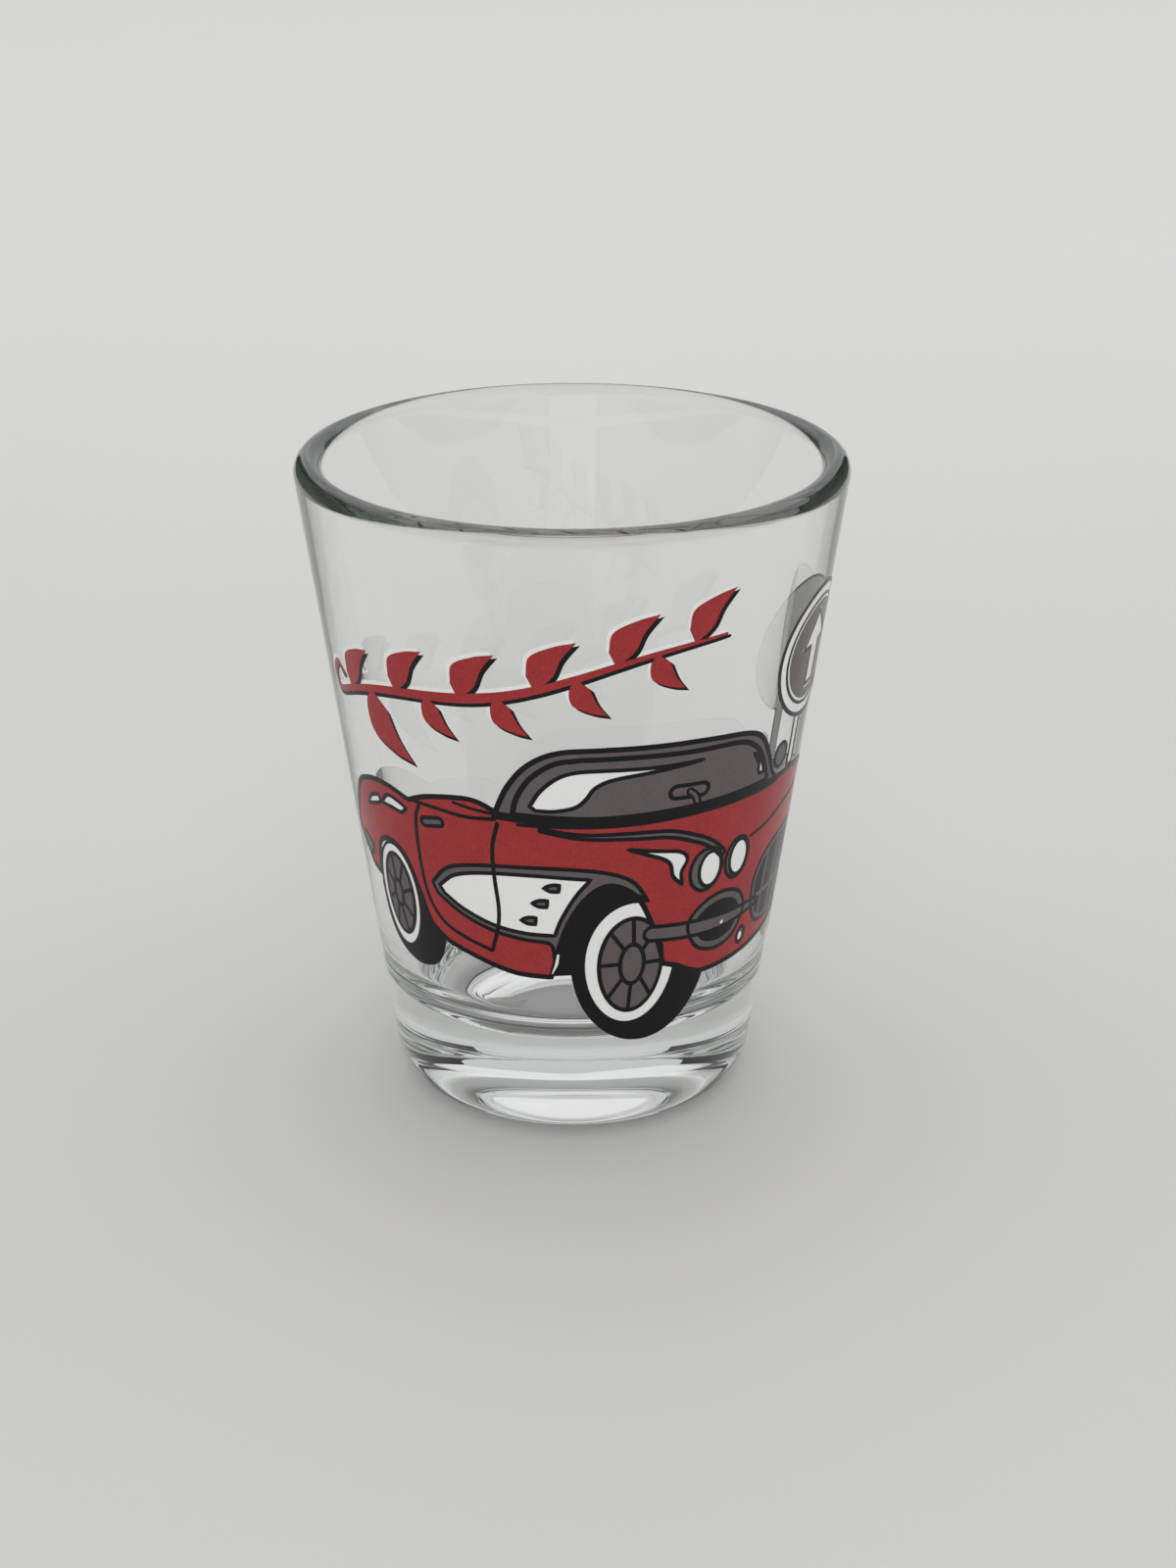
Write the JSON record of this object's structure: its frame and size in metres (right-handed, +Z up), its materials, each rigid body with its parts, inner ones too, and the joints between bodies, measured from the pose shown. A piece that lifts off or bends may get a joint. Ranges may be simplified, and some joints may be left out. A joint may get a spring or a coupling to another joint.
{
  "type": "shot glass",
  "caption": "Tapered souvenir shot glass with a thick solid base and an enamelled picture of an open roadster, a spray of leaves and a round roadside sign.",
  "frame": {"origin": "middle of the foot, in the plane that the glass stands on", "axes": "+Z up along the glass's axis, -Y towards the middle of the picture, +X to the right of someone who faces the picture"},
  "size_m": [0.0494, 0.0494, 0.06],
  "materials": {
    "clear_glass": "polished",
    "white_enamel": "gloss",
    "red_enamel": "gloss",
    "grey_enamel": "gloss",
    "black_enamel": "gloss"
  },
  "bodies": {
    "root": {"glass_body": "clear_glass", "car_white_underlay": "white_enamel", "car_red_bodywork": "red_enamel", "car_grey_windscreen": "grey_enamel", "car_grey_grille_and_bumper": "grey_enamel", "car_grey_front_wheel_disc": "grey_enamel", "car_grey_rear_wheel_disc": "grey_enamel", "car_black_keyline": "black_enamel", "scroll_white_underlay": "white_enamel", "scroll_black_shadow": "black_enamel", "scroll_red_face": "red_enamel", "sign_white_underlay": "white_enamel", "sign_grey_face": "grey_enamel", "sign_black_keyline": "black_enamel"}
  },
  "joints": []
}
